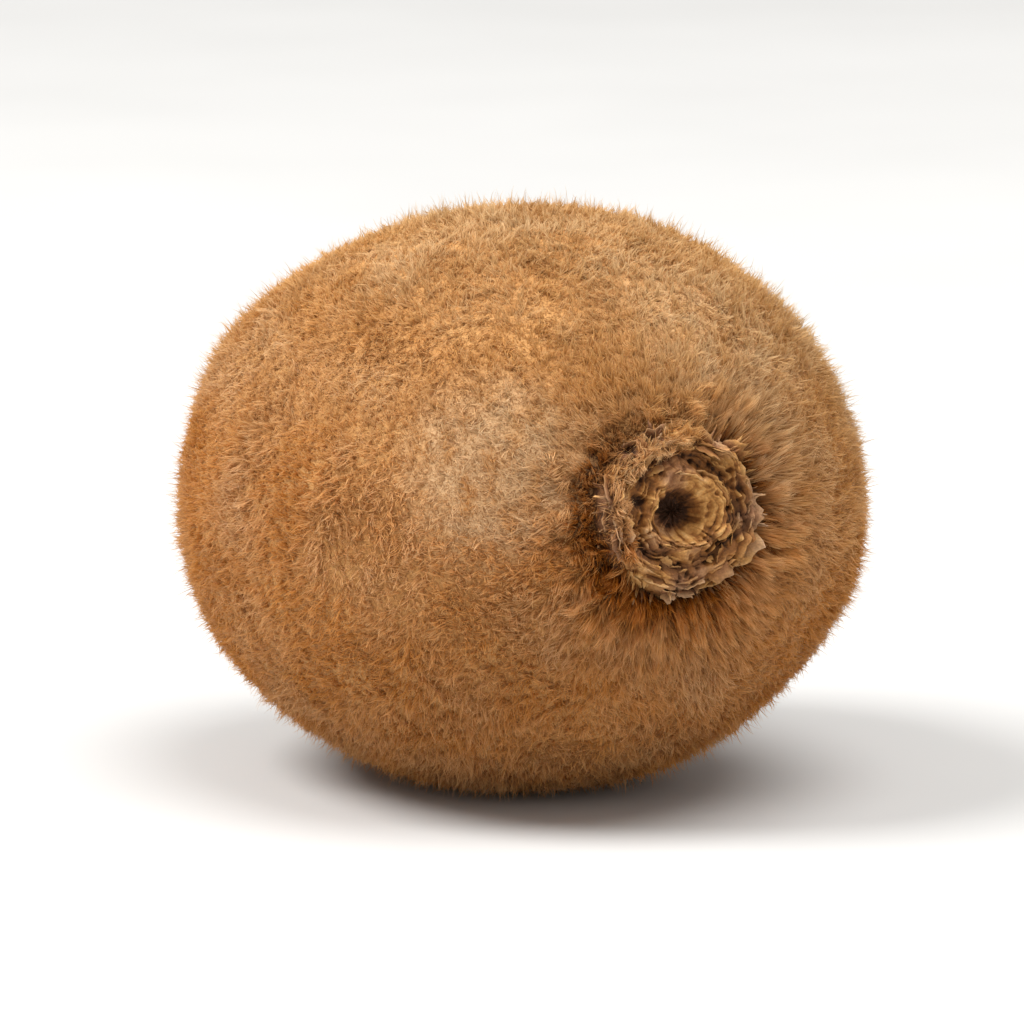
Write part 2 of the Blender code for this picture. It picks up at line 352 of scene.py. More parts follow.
def leatherySkin():
    # kiwifruit skin: thin, dry and leathery, covered with a felt of hair stubs too short to model,
    # so it looks matt and speckled, paler with a painted sheen where it is rubbed, dark brown with painted
    # shade round the button, and its own dark brown round the styles
    material, tree = newMaterial("leatheryFruitSkin")
    place = addNode(tree, "ShaderNodeTexCoord").outputs["Object"]
    shade = addNode(tree, "ShaderNodeAttribute", {"attribute_name": "stemShade"}).outputs["Fac"]
    wornAndSheen = addNode(tree, "ShaderNodeAttribute", {"attribute_name": "rubbed"}).outputs["Fac"]
    blotches = addNode(tree, "ShaderNodeTexNoise", {"Scale": 1 / (4 * mm), "Detail": 5.0},
                       {"Vector": place})  # about 4 mm across
    felt = addNode(tree, "ShaderNodeTexNoise", {"Scale": 1 / (0.35 * mm), "Detail": 4.0, "Distortion": 1.5},
                   {"Vector": place})  # stubs about 0.35 mm apart
    shades = addNode(tree, "ShaderNodeValToRGB", {"stops": [
        (0.3, "#9C6C3A"), (0.5, "#B07E48"), (0.7, "#C09058")]}, {"Fac": blotches.outputs["Fac"]})
    # paler where it is rubbed: partly real wear and partly a painted sheen
    paled = addNode(tree, "ShaderNodeMix", {"data_type": "RGBA", 7: linear("#C09A70")},
                    {0: wornAndSheen, 6: shades.outputs["Color"]})
    feltShare = addNode(tree, "ShaderNodeMapRange", {"From Min": 0.46, "From Max": 0.62, "To Max": 0.75},
                        {"Value": felt.outputs["Fac"]})
    felted = addNode(tree, "ShaderNodeMix", {"data_type": "RGBA", 7: linear("#80542A")},
                     {0: feltShare.outputs["Result"], 6: paled.outputs[2]})
    feltLevel = addNode(tree, "ShaderNodeMapRange", {"From Min": 0.40, "From Max": 0.60, "To Min": 0.45},
                        {"Value": felt.outputs["Fac"]})
    shadeShare = addNode(tree, "ShaderNodeMath", {"operation": "MULTIPLY"},
                         {0: shade, 1: feltLevel.outputs["Result"]})
    # painted shade round the button in dark brown, broken up by the felt, and the blossom end's own dark
    # brown ring
    colour = addNode(tree, "ShaderNodeMix", {"data_type": "RGBA", 7: linear("#3C210E")},
                     {0: shadeShare.outputs[0], 6: felted.outputs[2]})
    bump = addNode(tree, "ShaderNodeBump", {"Strength": 0.8, "Distance": 0.15 * mm},
                   {"Height": felt.outputs["Fac"]})
    shader = addNode(tree, "ShaderNodeBsdfPrincipled",
                     {"Roughness": 0.8, "IOR": 1.45, "Specular IOR Level": 0.3},
                     {"Base Color": colour.outputs[2], "Normal": bump.outputs["Normal"]})
    addNode(tree, "ShaderNodeOutputMaterial", None, {"Surface": shader.outputs[0]})
    return material


def corkyWood(name, dark, tan, weathered):
    # dried stalk and sepals: corky, fibrous plant wood, golden tan, and pinkish grey brown where it has
    # weathered, with painted shade in dark brown in its cracks and hollows and painted light on what stands
    # out
    material, tree = newMaterial(name)
    place = addNode(tree, "ShaderNodeTexCoord").outputs["Object"]
    crest = addNode(tree, "ShaderNodeAttribute", {"attribute_name": "crest"}).outputs["Fac"]
    mottle = addNode(tree, "ShaderNodeTexNoise", {"Scale": 1 / (1.3 * mm), "Detail": 4.0, "Roughness": 0.6},
                     {"Vector": place})
    zones = addNode(tree, "ShaderNodeTexNoise", {"Scale": 1 / (4 * mm), "Detail": 3.0},
                    {"Vector": place})  # weathered stretches about 4 mm across
    grain = addNode(tree, "ShaderNodeTexNoise", {"Scale": 1 / (0.2 * mm), "Detail": 3.0},
                    {"Vector": place})  # fibres about 0.2 mm across
    uneven = addNode(tree, "ShaderNodeMath", {"operation": "MULTIPLY_ADD", 1: 0.5, 2: -0.25},
                     {0: mottle.outputs["Fac"]})
    level = addNode(tree, "ShaderNodeMath", {"operation": "ADD"}, {0: crest, 1: uneven.outputs[0]}).outputs[0]
    golden, grey = [
        addNode(tree, "ShaderNodeValToRGB",
                {"stops": list(zip((0.08, 0.42, 0.68, 0.98), (dark, *shades)))},
                {"Fac": level}).outputs["Color"]
        for shades in (tan, weathered)
    ]
    greyShare = addNode(tree, "ShaderNodeMapRange", {"From Min": 0.44, "From Max": 0.60, "To Max": 0.85},
                        {"Value": zones.outputs["Fac"]})
    mixed = addNode(tree, "ShaderNodeMix", {"data_type": "RGBA"},
                    {0: greyShare.outputs["Result"], 6: golden, 7: grey})
    grainShare = addNode(tree, "ShaderNodeMapRange",
                         {"From Min": 0.35, "From Max": 0.65, "To Min": 0.82, "To Max": 1.14},
                         {"Value": grain.outputs["Fac"]})
    colour = addNode(tree, "ShaderNodeHueSaturation", None,
                     {"Color": mixed.outputs[2], "Value": grainShare.outputs["Result"]})
    bump = addNode(tree, "ShaderNodeBump", {"Strength": 0.7, "Distance": 0.07 * mm},
                   {"Height": grain.outputs["Fac"]})
    shader = addNode(tree, "ShaderNodeBsdfPrincipled",
                     {"Roughness": 0.75, "IOR": 1.45, "Specular IOR Level": 0.35},
                     {"Base Color": colour.outputs["Color"], "Normal": bump.outputs["Normal"]})
    addNode(tree, "ShaderNodeOutputMaterial", None, {"Surface": shader.outputs[0]})
    return material


def paleTable():
    # matt white laminate: even and pale, so that only the soft shadow shows on it
    material, tree = newMaterial("paleMattLaminate")
    place = addNode(tree, "ShaderNodeTexCoord").outputs["Object"]
    cloud = addNode(tree, "ShaderNodeTexNoise", {"Scale": 1 / (60 * mm), "Detail": 2.0}, {"Vector": place})
    shades = addNode(tree, "ShaderNodeValToRGB", {"stops": [(0.3, "#C3C2C0"), (0.7, "#C8C7C5")]},
                     {"Fac": cloud.outputs["Fac"]})
    shader = addNode(tree, "ShaderNodeBsdfPrincipled", {"Roughness": 0.6},
                     {"Base Color": shades.outputs["Color"]})
    addNode(tree, "ShaderNodeOutputMaterial", None, {"Surface": shader.outputs[0]})
    return material


# The bare skin under the fuzz

skinMesh = {
    "rings": 104,
    "pointsRound": 140,
    "pebbleHeight": 0.05,
    "pebbleNoise": (1.3, 5),
    "sunkUnderButton": 3.0,
    "endTurn": 1e-4,          # of the two points that close it
}


def bareSkin(material):
    rows, columns = skinMesh["rings"], skinMesh["pointsRound"]
    turn, angle = everyPair(np.linspace(0, math.pi, rows + 2)[1:-1], evenAngles(columns))
    points = skinPoint(turn, angle, skinMesh["sunkUnderButton"])
    normals = skinNormal(turn, angle)[0]
    points += normals * (skinMesh["pebbleHeight"] * waves(points, *skinMesh["pebbleNoise"]))[:, None]
    endTurns = np.array([skinMesh["endTurn"], math.pi - skinMesh["endTurn"]])
    points = np.concatenate([points, skinPoint(endTurns, np.zeros(2), skinMesh["sunkUnderButton"])])
    stemEnd = fanFaces(0, len(points) - 2, columns)
    blossomEnd = fanFaces((rows - 1) * columns, len(points) - 1, columns, True)
    makePiece("bareSkin", laidDown(points), gridFaces(rows, columns), np.concatenate([stemEnd, blossomEnd]),
              material, {"stemShade": stemShade(points), "rubbed": rubbedAndSheenPatch(points)})


# The woody button at the stem end

button = {
    "height": 1.1,                   # over the fruit's end
    "rim": 7.4,                      # radius where it dives under the skin
    "rimWidth": 0.9,
    "rimSink": 1.6,
    "pitDepth": 2.1,
    "pit": (0.95, 2.3),
    "pitWall": (1.75, 1.1),          # middle radius and half width, as for the stalk's ring
    "ring": (3.1, 1.0),
    "ringHeight": 0.9,
    "collarRadius": 5.5,
    "collarHalfWidth": 1.1,
    "collarHeight": 1.0,
    "collarSlope": 1.5,
    "ovalness": 0.03,
    "sepalStubs": (1.0, 0.62, 0.88, 0.5, 0.8),
    "sepalSpread": 0.07,
    "notchHeight": 0.35,
    "stubShift": 0.12,
    "layered": ((2.0, 2.7), (6.7, 7.3)),     # where the layers start and end
    "layerWidth": 0.52,              # they run round the pit like shavings of wood
    "layerSwing": (0.13, 4.3, 1.0),  # their widths differ: by how much, pace and phase
    "layerHeight": 0.42,
    "layerWander": 0.42,
    "layerRipple": 0.17,
    "layerCrown": (0.6, 0.55),       # roundness of their crests, and mean height
    "layerShares": (0.55, 0.70, 0.45),       # how far a layer, its crest and the breaks in it stand out
    "tornShare": (0.30, 0.35),       # some stretches are torn up, some lie smooth: least share and softness
    "holeSizes": (0.55, 0.75),       # the higher, the fewer and smaller
    "holeDepth": 0.55,
    "crackSize": 0.6,
    "crackDepth": 0.4,
    "fibreHeight": 0.07,
    "fibresBetween": 0.45,           # share of that where no layers are
    "finerFibreShare": 0.6,
    "fineRibShare": 0.5,
    "ribHeight": 0.13,
    "ribbed": (2.2, 2.9),
    "wanderNoise": (5.5, 21),
    "rippleNoise": (1.9, 22),
    "stubNoise": (2.4, 23),
    "tornNoise": (4.2, 33),
    "holeNoises": ((1.0, 28), (2.1, 29)),
    "fineRibNoise": (0.7, 37),
    # noises drawn out round the pit: the radius whose girth they are laid along, their pace
    # across the layers, the millimetres from swell to swell, and a seed
    "standing": (7.0, 41.0, 4.6, 24),
    "broken": (7.0, 67.0, 1.7, 26),
    "fibres": (6.0, 9.0, 3.0, 25),
    "finerFibres": (11.0, 24.0, 3.0, 27),
    "cracks": (14.0, 0.8, 1.7, 35),
    "ribs": (5.0, 0.7, 1.5, 36),
    # how light its wood is painted, from 0 in the cracks to 1 on the crests: painted shade in cracks and
    # hollows, painted light on what stands out, over its own mottle
    "light": 0.49,
    "crestLight": 0.38,
    "outShares": (0.22, 0.9, 0.7, 0.35),     # what fibres, holes, cracks and the pit's ribs add to it
    # painted shade in the trough round the ring and in the pit
    "trough": (4.35, 0.7),
    "troughShade": 0.22,
    "pitShadow": (0.9, 2.2),
    "pitShade": 0.40,
    # painted light on the side of the pit's wall that faces the light
    "litWall": (1.9, 1.0),
    "litWallSide": -0.5,             # radians round the fruit
    "wallLight": 0.22,
    "mottle": 0.10,
    "mottleNoise": (3.0, 38),
    # painted shadow at the rim, where it dives under the skin, and on the pit's floor
    "rimShadow": (6.4, 7.2),
    "rimShade": 0.4,
    "floorLight": 0.1,
    "rings": 112,
    "pointsRound": 330,
    "plugDepth": 5.0,                # how far inside the fruit it is closed
    "colours": ("#381F0C", ("#855425", "#B78447", "#D6A86A"), ("#7C5439", "#A57D5C", "#C6A180")),
}


def sepalStub(angle):
    # how much of a dried sepal is left at each angle
    stubs = np.array(button["sepalStubs"])
    place = (angle / (2 * math.pi) * len(stubs)) % len(stubs)
    return stubs[place.astype(int) % len(stubs)] * np.sqrt(np.sin(math.pi * (place % 1.0)))


def roundTheEnd(angle, radius, across):
    return np.stack([radius * np.cos(angle), radius * np.sin(angle), across], axis=-1)


def drawnOut(angle, across, girth, pace, size, seed):
    # noise that is slow along the layers round the pit and fast across them
    return waves(roundTheEnd(angle, girth, pace * across), size, seed)


def buttonRelief(radius, angle):
    # height over the plain end, and how far each place stands out of its surroundings
    flat = roundTheEnd(angle, radius, 0 * radius)
    bent = radius + button["layerWander"] * waves(flat, *button["wanderNoise"])
    bent = bent + button["layerRipple"] * waves(flat, *button["rippleNoise"])
    stub = sepalStub((angle + button["stubShift"] * waves(flat, *button["stubNoise"])) % (2 * math.pi))
    wider = 1 + button["sepalSpread"] * stub + button["ovalness"] * np.cos(2 * angle)
    collar = button["collarRadius"] * wider
    lobes = blend(button["notchHeight"], 1, stub)
    height = button["height"] * fall(bent, collar, collar + button["collarSlope"])
    height = height + button["collarHeight"] * lobes * ridge(bent, collar, button["collarHalfWidth"])
    height = height + button["ringHeight"] * ridge(bent, *button["ring"])
    height = height - button["pitDepth"] * fall(bent, *button["pit"])

    swing, pace, phase = button["layerSwing"]
    layers = (bent + swing * np.sin(pace * bent + phase)) / button["layerWidth"]
    layer = np.floor(layers)
    roundness, meanCrown = button["layerCrown"]
    crown = np.sin(math.pi * (layers - layer)) ** roundness
    standing = drawnOut(angle, layer, *button["standing"])
    broken = drawnOut(angle, layer, *button["broken"])
    whole, crest, breaks = button["layerShares"]
    standOut = whole * standing + crest * (crown - meanCrown) + breaks * broken * crown
    smooth, softness = button["tornShare"]
    torn = blend(smooth, 1, fall(-waves(flat, *button["tornNoise"]), -softness, softness))
    start, end = button["layered"]
    layered = rise(radius, *start) * fall(radius, *end) * torn

    fibres = drawnOut(angle, bent, *button["fibres"])
    fibres = fibres + button["finerFibreShare"] * drawnOut(angle, bent, *button["finerFibres"])
    holes = sum(
        np.clip(waves(flat, *noise) - least, 0, 1)
        for noise, least in zip(button["holeNoises"], button["holeSizes"])
    )
    cracks = np.clip(drawnOut(angle, radius, *button["cracks"]) - button["crackSize"], 0, 1)
    wall = ridge(radius, *button["pitWall"])
    ribs = drawnOut(angle, radius, *button["ribs"])
    ribs = ribs + button["fineRibShare"] * waves(flat, *button["fineRibNoise"])
    height = height + layered * (button["layerHeight"] * standOut - button["crackDepth"] * cracks)
    height = height - button["holeDepth"] * holes * (1 - wall)
    height = height + button["ribHeight"] * ribs * fall(radius, *button["ribbed"])
    height = height + button["fibreHeight"] * fibres * blend(button["fibresBetween"], 1, layered)
    ofFibres, ofHoles, ofCracks, ofRibs = button["outShares"]
    out = standOut * layered + ofFibres * fibres - ofHoles * holes - ofCracks * cracks + ofRibs * wall * ribs
    return height, out


def buttonSink(radius):
    # the button's rim dives under the skin
    return button["rimSink"] * rise(radius, button["rim"] - button["rimWidth"], button["rim"])


def stemButton(material):
    rows, columns = button["rings"], button["pointsRound"]
    radius, angle = everyPair(button["rim"] * (np.arange(rows) + 0.6) / rows, evenAngles(columns))
    relief, standOut = buttonRelief(radius, angle)
    points = sidePoint(endDistance(radius) + relief - buttonSink(radius), radius, angle)
    # painted light on the side of the pit's wall that faces the light, and painted shade in the trough, the
    # pit and at the rim
    facingLight = 0.5 + 0.5 * np.cos(angle - button["litWallSide"])
    crest = button["light"] + button["crestLight"] * standOut
    crest = crest - button["troughShade"] * ridge(radius, *button["trough"])
    crest = crest - button["pitShade"] * fall(radius, *button["pitShadow"])
    crest = crest + button["wallLight"] * ridge(radius, *button["litWall"]) * facingLight
    crest = crest + button["mottle"] * waves(points, *button["mottleNoise"])
    crest = crest - button["rimShade"] * rise(radius, *button["rimShadow"])
    middle = len(points)
    pitFloor = endDistance(0.0) + buttonRelief(np.zeros(1), np.zeros(1))[0][0]
    points = np.concatenate([points, [[pitFloor, 0, 0], [endDistance(0.0) - button["plugDepth"], 0, 0]]])
    # painted shade on the pit's floor and the plug under it
    crest = np.concatenate([crest, [button["floorLight"]] * 2])
    triangles = np.concatenate([
        fanFaces(0, middle, columns), fanFaces((rows - 1) * columns, middle + 1, columns, True)])
    makePiece("stemButton", laidDown(points), gridFaces(rows, columns), triangles, material, {"crest": crest})


# Torn strips of the dried sepals and stalk, which stand on edge round the pit, and frayed ends outside

scraps = {
    # how many, radius and its spread, length round the pit, height, and how far they lean outwards in degrees
    "kinds": (
        (70, 5.9, 0.65, (0.7, 3.2), (0.4, 1.15), (-25, 65)),        # on the collar
        (34, 4.7, 0.5, (0.6, 2.4), (0.25, 0.75), (-45, 40)),        # inside it
        (16, 3.1, 0.5, (0.6, 2.2), (0.15, 0.4), (-35, 30)),         # on the stalk's ring
        (64, 6.3, 0.55, (0.10, 0.24), (0.5, 1.3), (20, 88)),        # frayed ends
    ),
    "seed": 41,
    "placeChance": 0.8,         # of the way to the next one
    "turned": 0.22,             # one end is nearer the pit than the other by up to this share of the length
    "heightByStub": (0.65, 1.10),
    "rootDepth": 0.35,
    "ragged": 0.28,
    "endHeight": 0.25,
    "curl": (-0.25, 0.6),
    "roughness": 0.035,
    "thickness": 0.17,
    "thinning": (1.1, 0.35),    # shares of the thickness at the root and at the edge
    "light": (0.30, 0.62),
    "lightChance": 0.12,
    "rows": 4,
    "columns": 8,
    "colours": ("#3A200D", ("#86562A", "#B4844A", "#D3A66D"), ("#7E583E", "#A98361", "#C8A485")),
}


def slab(grid, flatWay, thick):
    # a closed thin slab from a grid of points, the way that it faces and half its thickness
    rows, columns = grid.shape[:2]
    points = np.concatenate([grid + flatWay * thick, grid - flatWay * thick]).reshape(-1, 3)
    top = np.arange(rows * columns).reshape(rows, columns)
    under = top + rows * columns
    edge = np.concatenate([top[:, 0], top[-1, 1:], top[-2::-1, -1], top[0, -2:0:-1]])
    low = edge + rows * columns
    quads = np.concatenate([
        np.stack([top[:-1, :-1], top[1:, :-1], top[1:, 1:], top[:-1, 1:]], -1).reshape(-1, 4),
        np.stack([under[:-1, :-1], under[:-1, 1:], under[1:, 1:], under[1:, :-1]], -1).reshape(-1, 4),
        np.stack([edge, low, np.roll(low, -1), np.roll(edge, -1)], -1)])
    return points, quads[:, ::-1]


def oneScrap(chance, number, count, middleRadius, spread, lengths, heights, leans):
    # its points and faces, and how light it is at each point
    rows, columns, rootDepth = scraps["rows"], scraps["columns"], scraps["rootDepth"]
    place = number + chance.uniform(-scraps["placeChance"], scraps["placeChance"])
    middleAngle = 2 * math.pi * place / count
    radius = middleRadius + chance.uniform(-spread, spread)
    length, tall = chance.uniform(*lengths), chance.uniform(*heights)
    lean = math.radians(chance.uniform(*leans))
    turned = chance.uniform(-scraps["turned"], scraps["turned"])
    stub = float(sepalStub(np.array([middleAngle % (2 * math.pi)]))[0])
    tall *= blend(*scraps["heightByStub"], stub)
    side = np.linspace(-0.5, 0.5, columns)
    angle = middleAngle + side * length / radius
    ringRadius = radius + turned * side * length
    relief = buttonRelief(ringRadius, angle)[0]
    foot = sidePoint(endDistance(ringRadius) + relief - rootDepth, ringRadius, angle)
    outwards = np.stack([0 * angle, np.cos(angle), np.sin(angle)], axis=-1)
    way = np.array([math.cos(lean), 0, 0]) + outwards * math.sin(lean)
    flatWay = np.array([-math.sin(lean), 0, 0]) + outwards * math.cos(lean)
    ragged = 1 + scraps["ragged"] * chance.normal(size=columns).clip(-1.5, 1.5)
    edge = (1 - np.abs(2 * side) ** 3) ** 0.5 * ragged
    edge[[0, -1]] = scraps["endHeight"]
    curl = chance.uniform(*scraps["curl"])
    share = np.linspace(0, 1, rows)[:, None, None]
    grid = foot + way * (rootDepth + tall * edge[:, None]) * share + flatWay * curl * tall * share ** 2
    grid = grid + scraps["roughness"] * chance.normal(size=grid.shape)
    points, quads = slab(grid, flatWay, scraps["thickness"] / 2 * blend(*scraps["thinning"], share))
    light = blend(*scraps["light"], share[:, :, 0]) + 0 * edge + scraps["lightChance"] * chance.normal()
    return points, quads, np.tile(light.ravel(), 2)


def sepalScraps(material):
    chance = np.random.default_rng(scraps["seed"])
    points, quads, light, first = [], [], [], 0
    for count, *shape in scraps["kinds"]:
        for number in range(count):
            scrapPoints, scrapQuads, scrapLight = oneScrap(chance, number, count, *shape)
            points.append(scrapPoints)
            quads.append(scrapQuads + first)
            light.append(scrapLight)
            first += len(scrapPoints)
    makePiece("sepalScraps", laidDown(np.concatenate(points)), np.concatenate(quads), [], material,
              {"crest": np.concatenate(light)})


# Dried styles in the dimple of the blossom end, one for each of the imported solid's

styles = {
    "count": 26,
    "length": (1.8, 3.3),
    "rootRadius": 0.30,
    "tipRadius": 0.12,
    "tipHeight": 0.12,
    "knob": 0.5,              # how much thicker the stigma is
    "swelling": 0.25,
    "withering": 0.28,
    "sink": 1.0,
    "tuftRadius": 1.9,
    "innerLean": math.radians(12.0),
    "outerLean": math.radians(54.0),
    "leanChance": math.radians(8.0),
    "curl": 0.35,
    "sideCurl": 0.6,
    "wiggle": 0.2,
    "wigglePace": 6,          # radians from root to tip, as for the swelling
    "swellPace": 9,
    "phases": 6.28,           # where they start, at most
    "light": (0.25, 0.70),
    # painted shade where its sides are shrunk in, and painted light where they bulge
    "witheredLight": 0.6,
    "endLights": (0.2, 0.8),
    "seed": 11,
    "sides": 7,
    "steps": 14,
    "colours": ("#24140A", ("#54351C", "#7C5430", "#A37C50"), ("#4A3020", "#6E4E38", "#94765C")),
}


def driedStyles(material):
    chance = random.Random(styles["seed"])
    wrinkle = np.random.default_rng(styles["seed"])
    sides, steps, sink = styles["sides"], styles["steps"], styles["sink"]
    turns = evenAngles(sides)
    points, quads, triangles, light = [], [], [], []
    bossTop = np.array([-halfLength - (fruit["bossHeight"] - fruit["dimpleDepth"]), 0.0, 0.0])
    for number in range(styles["count"]):
        share = math.sqrt((number + 0.5) / styles["count"])
        angle = number * goldenAngle
        outwards = np.array([0.0, math.cos(angle), math.sin(angle)])
        root = bossTop + outwards * share * styles["tuftRadius"]
        lean = blend(styles["innerLean"], styles["outerLean"], share)
        lean += chance.uniform(-styles["leanChance"], styles["leanChance"])
        way = np.array([-math.cos(lean), 0.0, 0.0]) + outwards * math.sin(lean)
        sideways = unit(np.cross(way, outwards)) * chance.uniform(-styles["sideCurl"], styles["sideCurl"])
        length = chance.uniform(*styles["length"])
        across = unit(np.cross(way, sideways))
        beside = unit(np.cross(way, across))
        phase = wrinkle.uniform(0, styles["phases"], 3)
        first = sum(len(p) for p in points)
        for step in range(steps):
            along = step / (steps - 1)
            middle = root + way * (along * (length + sink) - sink)
            middle = middle + (outwards * styles["curl"] + sideways) * length * along ** 2
            middle = middle + styles["wiggle"] * np.sin(styles["wigglePace"] * along + phase) * along
            radius = blend(styles["rootRadius"], styles["tipRadius"], along)
            knob = styles["knob"] if step == steps - 2 else 0
            radius *= 1 + styles["swelling"] * math.sin(styles["swellPace"] * along + phase[0]) + knob
            withered = 1 + styles["withering"] * wrinkle.normal(size=sides).clip(-1, 1)
            girth = np.cos(turns)[:, None] * across + np.sin(turns)[:, None] * beside
            points.append(middle + girth * (withered * radius)[:, None])
            # painted shade in its shrunken dents and painted light on its bulges
            light.extend((blend(*styles["light"], along) + styles["witheredLight"] * (withered - 1)).tolist())
        points.append(np.array([root - way * sink * 1.1, middle + way * styles["tipHeight"]]))
        light.extend(styles["endLights"])
        rootMiddle = first + steps * sides
        quads.append(gridFaces(steps, sides, first)[:, ::-1])
        triangles.append(fanFaces(first, rootMiddle, sides, True))
        triangles.append(fanFaces(first + (steps - 1) * sides, rootMiddle + 1, sides))
    makePiece("driedStyles", laidDown(np.concatenate(points)), np.concatenate(quads),
              np.concatenate(triangles), material, {"crest": light})


# Where the hair and the skin are paler or darker

tones = {
    # where the fuzz is rubbed thin and pale, partly real wear and partly a painted sheen: middle along the
    # fruit's own axes, radii and strength
    "palePatches": (((27.0, -14.6, 4.4), (3.5, 10.5), 1.0), ((25.6, 7.5, 14.1), (3.0, 13.0), 0.5)),
    "paleness": (0.90, 0.50),            # its mean, and how much it varies
    "paleNoise": (2.6, 72),
    # painted shadow in the gap between the button and the fuzz on its left
    "gapRadius": 7.7,
    "gapWidth": (0.4, 1.7),
    "gapSide": math.radians(190),
    "sharpness": 1.5,                    # how fast the painted shadow of the gap ends, and the painted light on one side of the longer hair
    "gapShade": 0.9,
    # painted shade round the button, where the hair is also a darker brown
    "darkRing": (7.0, 11.5),
    "darkRingNoise": (2.6, 73),
    "darkEdge": (7.4, 9.4),
    "darkEdgeShade": 0.7,
    "paintedLightSide": math.radians(112),     # painted light: above the button the hair is given less shade
    "paintedLightShare": 0.85,
    # painted shade on the button's right side
    "paintedShadeSide": -0.2,                    # radians round the fruit
    "paintedShadeSideReach": (8.0, 18.0),
    "paintedShadeSideShade": 0.45,
    # painted shade between its strands, and less of it on them
    "furrowReach": (8.5, 14.5),
    "furrowReachChance": 1.6,
    "furrowReachNoise": (4.0, 84),
    "furrowShade": 0.95,
    "furrowShape": 1.5,
    "furrowShares": (0.3, 0.7),          # in the palest furrow, and how much darker the darkest is
    "furrowNoise": (3.6, 83),
    "strandLight": 0.15,
    # the blossom end's own dark brown ring round the styles
    "blossomDark": (1.8, 5.5),
    "blossomShade": 0.9,
}


def rubbedAndSheenPatch(places):
    # how much the fuzz and skin are paled: partly real wear and partly a painted sheen
    rubbed = sum(
        strength * fall(np.linalg.norm(places - middle, axis=1), *radii)
        for middle, radii, strength in tones["palePatches"]
    )
    mean, spread = tones["paleness"]
    return np.clip(rubbed * (mean + spread * waves(places, *tones["paleNoise"])), 0, 1)


def facing(angle, side, sharpness=1.0):
    # 1 at this side of the button, 0 from a quarter turn away from it on
    return np.clip(sharpness * np.cos(angle - side), 0, 1)


def paintedGapShadow(radius, angle):
    # 1 where painted shadow falls in the gap between the button and the fuzz on its left
    away = np.abs(radius - tones["gapRadius"])
    return fall(away, *tones["gapWidth"]) * facing(angle, tones["gapSide"], tones["sharpness"])


def stemShade(places):
    # how dark the hair and the skin are painted: painted shade round the stem end, where the hair is also
    # browner, and the blossom end's own dark brown ring
    radius, angle = roundTheAxis(places)
    stem = fall(radius, *tones["darkRing"]) * (0.5 + 0.5 * waves(places, *tones["darkRingNoise"]))
    stem = stem + tones["darkEdgeShade"] * fall(radius, *tones["darkEdge"])
    # painted light: less shade above the button, on the side the light falls on
    stem = stem * (1 - tones["paintedLightShare"] * facing(angle, tones["paintedLightSide"]))
    # more painted shade on the button's right side
    paintedShadeSide = fall(radius, *tones["paintedShadeSideReach"]) * facing(angle, tones["paintedShadeSide"])
    stem = stem + tones["paintedShadeSideShade"] * paintedShadeSide
    furrow = np.abs(toStrand(angle, radius)) * fuzz["strands"] / math.pi     # 1 midway between two strands
    palest, more = tones["furrowShares"]
    depth = palest + more * np.clip(0.5 + waves(places, *tones["furrowNoise"]), 0, 1)
    reach = radius + tones["furrowReachChance"] * waves(places, *tones["furrowReachNoise"])
    reach = fall(reach, *tones["furrowReach"]) * (1 - lumpiness(angle))
    # painted shade in the furrows between the strands, less on the strands
    furrow = tones["furrowShade"] * furrow ** tones["furrowShape"] * depth - tones["strandLight"]
    stem = stem + furrow * reach + tones["gapShade"] * paintedGapShadow(radius, angle)
    blossom = tones["blossomShade"] * fall(radius, *tones["blossomDark"])
    return np.clip(np.where(places[:, 0] > 0, stem, blossom), 0, 1)


# The fuzz

